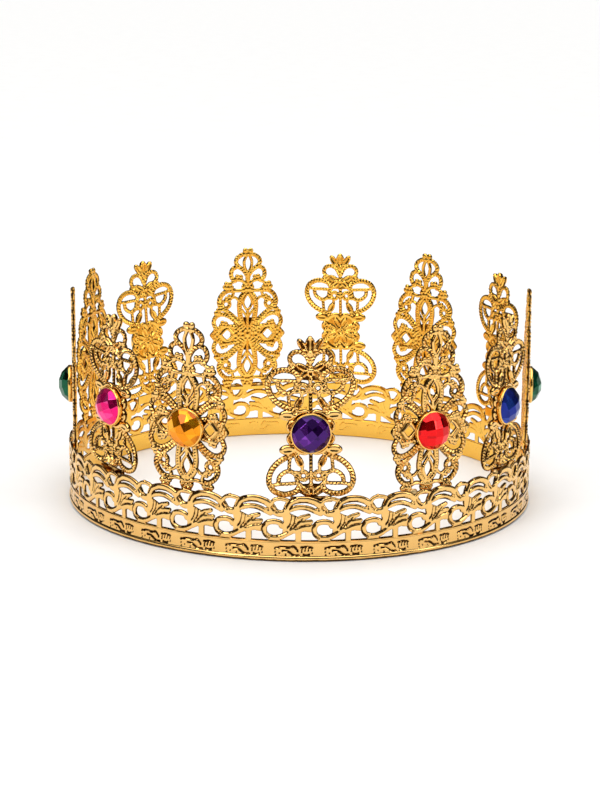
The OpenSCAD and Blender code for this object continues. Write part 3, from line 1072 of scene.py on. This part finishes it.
def build_tacks():
    """Uneven solder blobs where each plaque's foot meets the arches."""
    bm = bmesh.new()
    for number, seat in enumerate(SEATS):
        for side in (-1, 1):
            add_tack(bm, number, seat, side)
    mesh = bpy.data.meshes.new("solder_blobs")
    bm.to_mesh(mesh)
    bm.free()
    finish_mesh(mesh, SOLDER)
    point_values(mesh, "relief_shade", [0.5] * len(mesh.vertices))
    blobs = new_object("solder_blobs", mesh)
    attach(blobs, "root")
    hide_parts("solder_tacks")


def seam_loops(angle):
    """Points round the seam's bead of solder, from the rim's lower edge up: one loop per height."""
    loops = []
    for z in np.linspace(0.35, RIM_H - 0.15, 22):
        wall = RING_R + (0.42 if z < 1.3 else 0.0)
        half = 0.34 + 0.08 * math.sin(3.1 * z) + 0.04 * math.sin(7.7 * z + 1)
        loop = []
        for a in np.arange(BEAD_SIDES) * math.pi / (BEAD_SIDES / 2):
            aside, r = half * math.cos(a), wall + 0.16 * math.sin(a)
            loop.append((
                r * math.sin(angle) + aside * math.cos(angle),
                -r * math.cos(angle) + aside * math.sin(angle),
                z,
            ))
        loops.append(loop)
    return loops


def build_seam():
    """The thin bead of solder down the strip's joint."""
    centre = box_centre("seam_solder")
    loops = seam_loops(math.atan2(centre[0], -centre[1]))
    verts = [tuple(c * MM for c in point) for loop in loops for point in loop]
    faces = []
    for k in range(len(loops) - 1):
        low, high = k * BEAD_SIDES, (k + 1) * BEAD_SIDES
        for j in range(BEAD_SIDES):
            following = (j + 1) % BEAD_SIDES
            faces.append((low + j, low + following, high + following, high + j))
    faces.append(tuple(range(BEAD_SIDES))[::-1])
    faces.append(tuple(range(len(verts) - BEAD_SIDES, len(verts))))
    mesh = bpy.data.meshes.new("seam_bead")
    mesh.from_pydata(verts, [], faces)
    mesh.validate()
    finish_mesh(mesh, SOLDER)
    bead = new_object("seam_bead", mesh)
    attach(bead, "root")
    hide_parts("seam_solder")


build_rim()
build_gallery()
build_plaques()
build_bezels()
build_stones()
build_tacks()
build_seam()


# ---------------- floor, light and camera


def area_light(name, place, aim, size, power):
    """A soft white panel at place, turned to aim."""
    data = bpy.data.lights.new(name, "AREA")
    data.shape = "RECTANGLE"
    data.size, data.size_y = size
    data.energy = power
    light = bpy.data.objects.new(name, data)
    bpy.context.scene.collection.objects.link(light)
    light.location = place
    light.rotation_mode = "QUATERNION"
    light.rotation_quaternion = (Vector(aim) - Vector(place)).to_track_quat("-Z", "Y")


def build_floor():
    """A plain pale floor, a hair under the rim."""
    half, z = 6.0, -0.0002
    corners = [(-half, -half, z), (half, -half, z), (half, half, z), (-half, half, z)]
    mesh = bpy.data.meshes.new("floor")
    mesh.from_pydata(corners, [], [(0, 1, 2, 3)])
    material, shader, node, link = new_material("floor")
    where = node("ShaderNodeTexCoord")
    noise = node("ShaderNodeTexNoise", Scale=40.0, Detail=2.0)
    link(where.outputs["Object"], noise.inputs["Vector"])
    tint = ramp(node, [(0.3, (0.92, 0.92, 0.92)), (0.7, (0.94, 0.94, 0.94))])
    link(noise.outputs["Fac"], tint.inputs["Fac"])
    link(tint.outputs["Color"], shader.inputs["Base Color"])
    shader.inputs["Roughness"].default_value = 1.0
    shader.inputs["Specular IOR Level"].default_value = 0.0
    mesh.materials.append(material)
    new_object("floor", mesh)


def build_world():
    """A studio that is bright overhead and dark round the horizon, which the gold mirrors.

    The backdrop that the camera sees directly is plain white.
    """
    world = bpy.data.worlds.new("studio")
    bpy.context.scene.world = world
    world.use_nodes = True
    tree = world.node_tree
    link = tree.links.new
    where = tree.nodes.new("ShaderNodeTexCoord")
    split = tree.nodes.new("ShaderNodeSeparateXYZ")
    link(where.outputs["Generated"], split.inputs[0])
    brightness = [(0.0, 0.6), (0.02, 0.07), (0.56, 0.03), (0.74, 0.35), (0.82, 2.4), (1.0, 2.7)]
    stops = [(place, (level, level * 0.995, level * 0.985)) for place, level in brightness]
    by_height = ramp(tree.nodes.new, stops)
    link(split.outputs["Z"], by_height.inputs["Fac"])
    path = tree.nodes.new("ShaderNodeLightPath")
    backdrop = tree.nodes.new("ShaderNodeMix")
    backdrop.data_type = "RGBA"
    backdrop.inputs[7].default_value = (1.1, 1.1, 1.1, 1)
    link(path.outputs["Is Camera Ray"], backdrop.inputs["Factor"])
    link(by_height.outputs["Color"], backdrop.inputs[6])
    link(backdrop.outputs[2], tree.nodes["Background"].inputs["Color"])


def build_camera():
    """The photograph's view: 684 mm away, 16 degrees above the rim's plane, a long lens."""
    distance, elevation, roll = 0.6838, math.radians(16.16), math.radians(0.6)
    aim = Vector((0, 0, 0.0326))
    data = bpy.data.cameras.new("camera")
    data.sensor_width = 36.0
    data.lens = 87.2
    data.clip_start, data.clip_end = 0.01, 50
    camera = bpy.data.objects.new("camera", data)
    bpy.context.scene.collection.objects.link(camera)
    camera.location = (0, -distance * math.cos(elevation), distance * math.sin(elevation))
    camera.rotation_mode = "QUATERNION"
    level = (aim - camera.location).to_track_quat("-Z", "Y")
    camera.rotation_quaternion = level @ Quaternion((0, 0, 1), roll)
    bpy.context.scene.camera = camera


build_floor()
build_world()
build_camera()
area_light("key", (-0.7, -0.9, 0.9), (0, 0, 0.03), (0.35, 0.6), 3)
area_light("fill", (1.1, -0.5, 0.5), (0, 0, 0.03), (0.3, 0.6), 1.8)
bpy.context.scene.view_settings.view_transform = "Standard"
